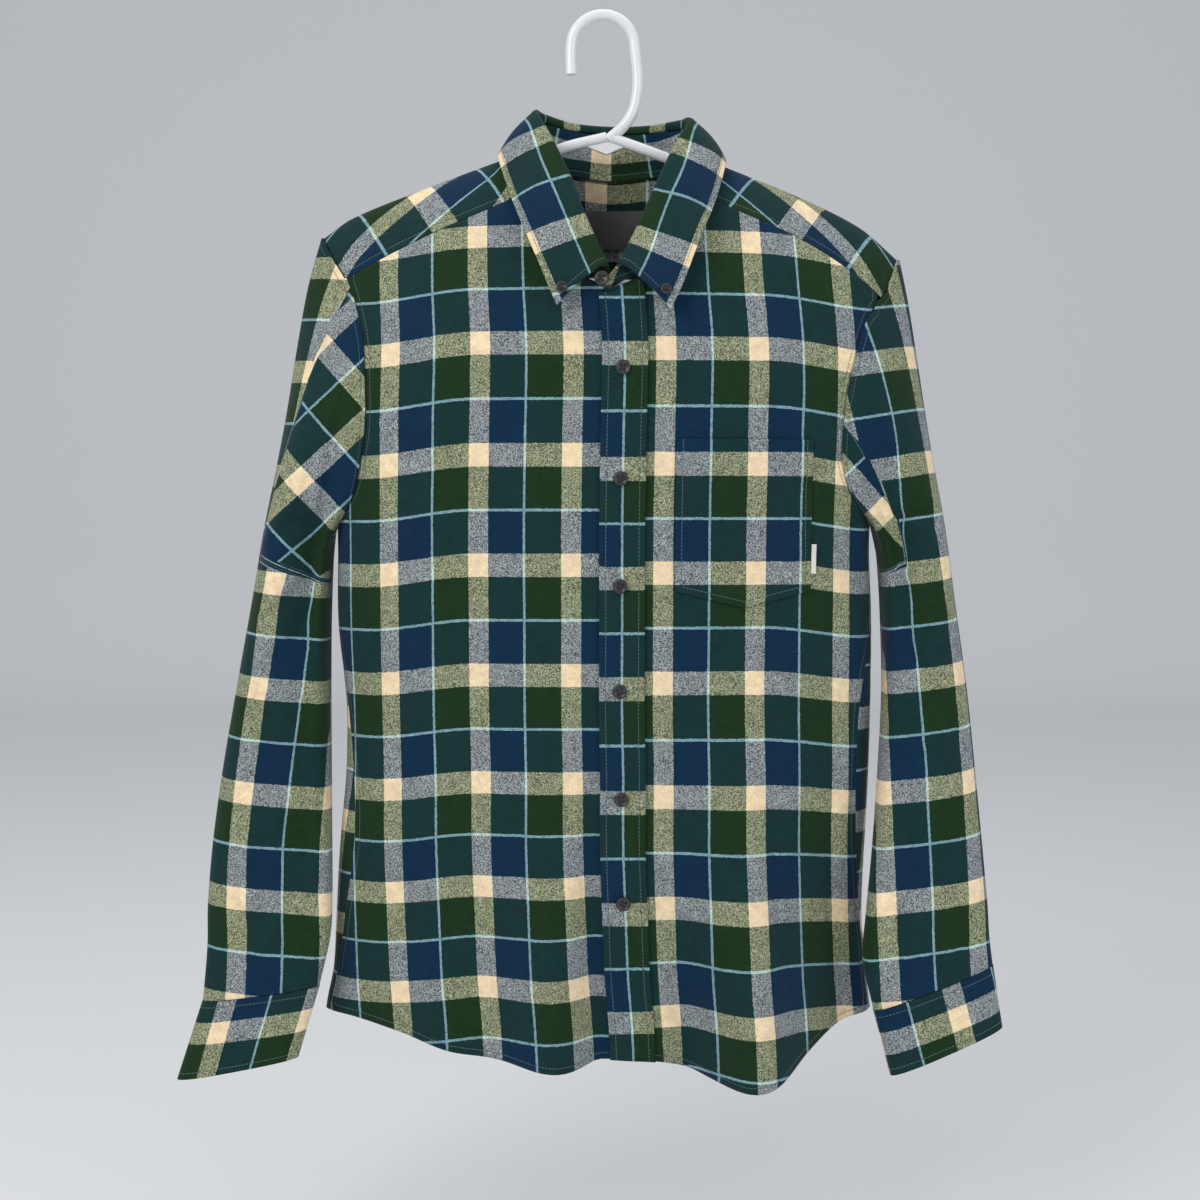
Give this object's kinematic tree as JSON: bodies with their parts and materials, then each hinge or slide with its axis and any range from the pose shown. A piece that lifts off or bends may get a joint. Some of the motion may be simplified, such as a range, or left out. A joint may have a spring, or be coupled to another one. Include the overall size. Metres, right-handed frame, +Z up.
{
  "type": "flannel shirt on a hanger",
  "caption": "Long-sleeved plaid flannel shirt with a button-down collar and a chest pocket, buttoned up on a white plastic hanger",
  "frame": {"origin": "Inner crown of the hanger's hook, where the hook rests on a rail", "axes": "+Z up along the hanging line, +X toward the wearer's left, the shirt's front faces -Y"},
  "size_m": [0.6458, 0.1727, 0.8467],
  "materials": {
    "flannel": "brushed cotton, plaid of navy, green and cream with a light blue line",
    "button": "dark grey, slightly glossy, sewn through",
    "label": "grey woven label, bare",
    "flag": "off-white woven flag, bare",
    "hanger": "white, smooth"
  },
  "bodies": {
    "root": {"front_right": "flannel", "front_left": "flannel", "back": "flannel", "yoke": "flannel", "sleeve_right": "flannel", "sleeve_left": "flannel", "cuff_right": "flannel", "cuff_left": "flannel", "button_stand": "flannel", "placket": "flannel", "pocket": "flannel", "pocket_flag": "flag", "neck_label": "label", "size_tab": "label", "collar_stand": "flannel", "collar_fall": "flannel", "button_1": "button", "button_2": "button", "button_3": "button", "button_4": "button", "button_5": "button", "button_6": "button", "button_point_right": "button", "button_point_left": "button", "button_stand_top": "button", "button_cuff_right": "button", "button_cuff_left": "button", "hanger": "hanger"}
  },
  "joints": []
}
